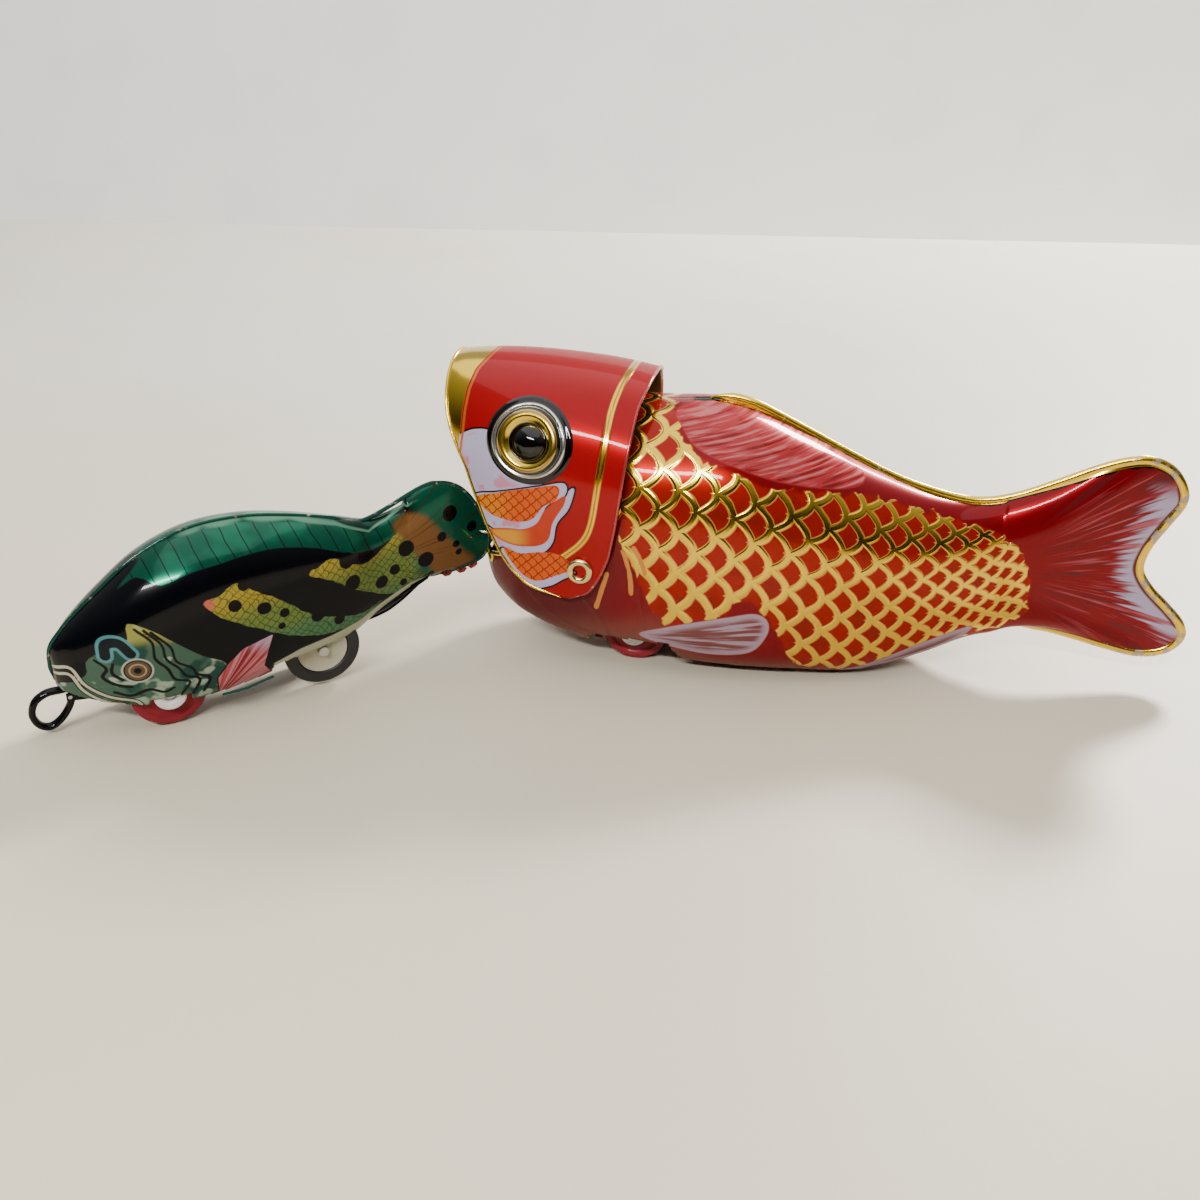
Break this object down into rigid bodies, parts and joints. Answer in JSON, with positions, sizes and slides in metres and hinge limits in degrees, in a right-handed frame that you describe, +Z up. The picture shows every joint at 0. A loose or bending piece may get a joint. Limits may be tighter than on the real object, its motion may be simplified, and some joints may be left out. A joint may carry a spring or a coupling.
{
  "type": "tin carp and trout chasing toy",
  "caption": "Pressed-tin floor toy: a big carp with a nodding head and a spring-wound reel chases a small wheeled trout that is drawn back into its open mouth.",
  "frame": {"origin": "on the floor, under the middle of the bounding box of both fishes", "axes": "+X towards the carp's tail, +Z up, the trout lies towards -X and -Y"},
  "size_m": [0.2564, 0.108, 0.0742],
  "materials": {
    "carp_tin": "gloss",
    "head_tin": "gloss",
    "carp_belly_tin": "gloss",
    "trout_tin": "gloss",
    "black_tin": "gloss",
    "plain_tin": "bare tinplate",
    "steel": "bright wire",
    "spring_steel": "blued",
    "brass": "bright",
    "red_plastic": "gloss",
    "white_plastic": "gloss",
    "cream_plastic": "satin",
    "black_rubber": "matt"
  },
  "bodies": {
    "carp_body": {"carp_left_shell": "carp_tin", "carp_right_shell": "carp_tin", "gullet_tray": "plain_tin", "belly_plate": "carp_belly_tin", "cord_guide": "steel", "motor_plate_left": "plain_tin", "motor_plate_right": "plain_tin", "motor_pillars": "steel", "mainspring": "spring_steel"},
    "head": {"head_shell": "head_tin", "head_eyelets": "brass", "jaw_lever": "plain_tin"},
    "nod_link": {"nod_link": "plain_tin"},
    "carp_front_wheelset": {"carp_front_axle": "steel", "carp_front_wheels": "red_plastic", "carp_front_hubs": "white_plastic"},
    "carp_rear_wheelset": {"carp_rear_axle": "steel", "carp_rear_tyres": "red_plastic", "carp_rear_hubs": "white_plastic"},
    "reel": {"reel_arbor": "steel", "cord_reel": "white_plastic", "nod_crank": "steel"},
    "tow": {"tow_link": "steel"},
    "trout": {"trout_left_shell": "trout_tin", "trout_right_shell": "trout_tin", "trout_belly_plate": "black_tin", "ring_pin": "steel", "tow_eye": "steel"},
    "ring": {"pull_ring": "black_tin"},
    "trout_front_wheelset": {"trout_front_axle": "steel", "trout_front_wheels": "red_plastic", "trout_front_hubs": "white_plastic"},
    "trout_rear_wheelset": {"trout_rear_axle": "steel", "trout_rear_tyres": "black_rubber", "trout_rear_hubs": "cream_plastic"}
  },
  "joints": [
    {"name": "head_nod", "type": "hinge", "parent": "carp_body", "child": "head", "pos_m": [-0.01393, 0.02694, 0.028], "axis": [0, 1, 0], "range_deg": [-9, 0]},
    {"name": "nod_link_swing", "type": "hinge", "parent": "head", "child": "nod_link", "pos_m": [-0.01393, 0.04114, 0.02], "axis": [0, 1, 0], "range_deg": [0, 9]},
    {"name": "carp_front_roll", "type": "hinge", "parent": "carp_body", "child": "carp_front_wheelset", "pos_m": [-0.00243, 0.02694, 0.0084], "axis": [0, 1, 0], "continuous": true},
    {"name": "carp_rear_roll", "type": "hinge", "parent": "carp_body", "child": "carp_rear_wheelset", "pos_m": [0.04757, 0.02694, 0.0084], "axis": [0, 1, 0], "continuous": true},
    {"name": "tow_slide", "type": "slide", "parent": "carp_body", "child": "tow", "axis": [-0.766, -0.6428, 0], "range_m": [0, 0.2], "stiffness_N_per_m": 1, "springref_m": -0.1},
    {"name": "reel_spin", "type": "hinge", "parent": "carp_body", "child": "reel", "pos_m": [0.03157, 0.02694, 0.0146], "axis": [0, -1, 0], "range_deg": [0, 1763.9]},
    {"name": "trout_yaw", "type": "hinge", "parent": "tow", "child": "trout", "pos_m": [-0.04056, 0.01665, 0.03092], "axis": [0, 0, 1], "range_deg": [-10, 10]},
    {"name": "ring_swing", "type": "hinge", "parent": "trout", "child": "ring", "pos_m": [-0.12089, -0.04832, 0.0096], "axis": [-0.6403, 0.7631, 0.0872], "range_deg": [0, 25]},
    {"name": "trout_front_roll", "type": "hinge", "parent": "trout", "child": "trout_front_wheelset", "pos_m": [-0.10549, -0.0354, 0.0096], "axis": [-0.6403, 0.7631, 0.0872], "continuous": true},
    {"name": "trout_rear_roll", "type": "hinge", "parent": "trout", "child": "trout_rear_wheelset", "pos_m": [-0.07771, -0.01219, 0.01049], "axis": [-0.6403, 0.7631, 0.0872], "continuous": true}
  ],
  "couplings": [
    {"joint": "nod_link_swing", "follows": "head_nod", "ratio": -1},
    {"joint": "reel_spin", "follows": "tow_slide", "rad_per_m": 153.85}
  ]
}
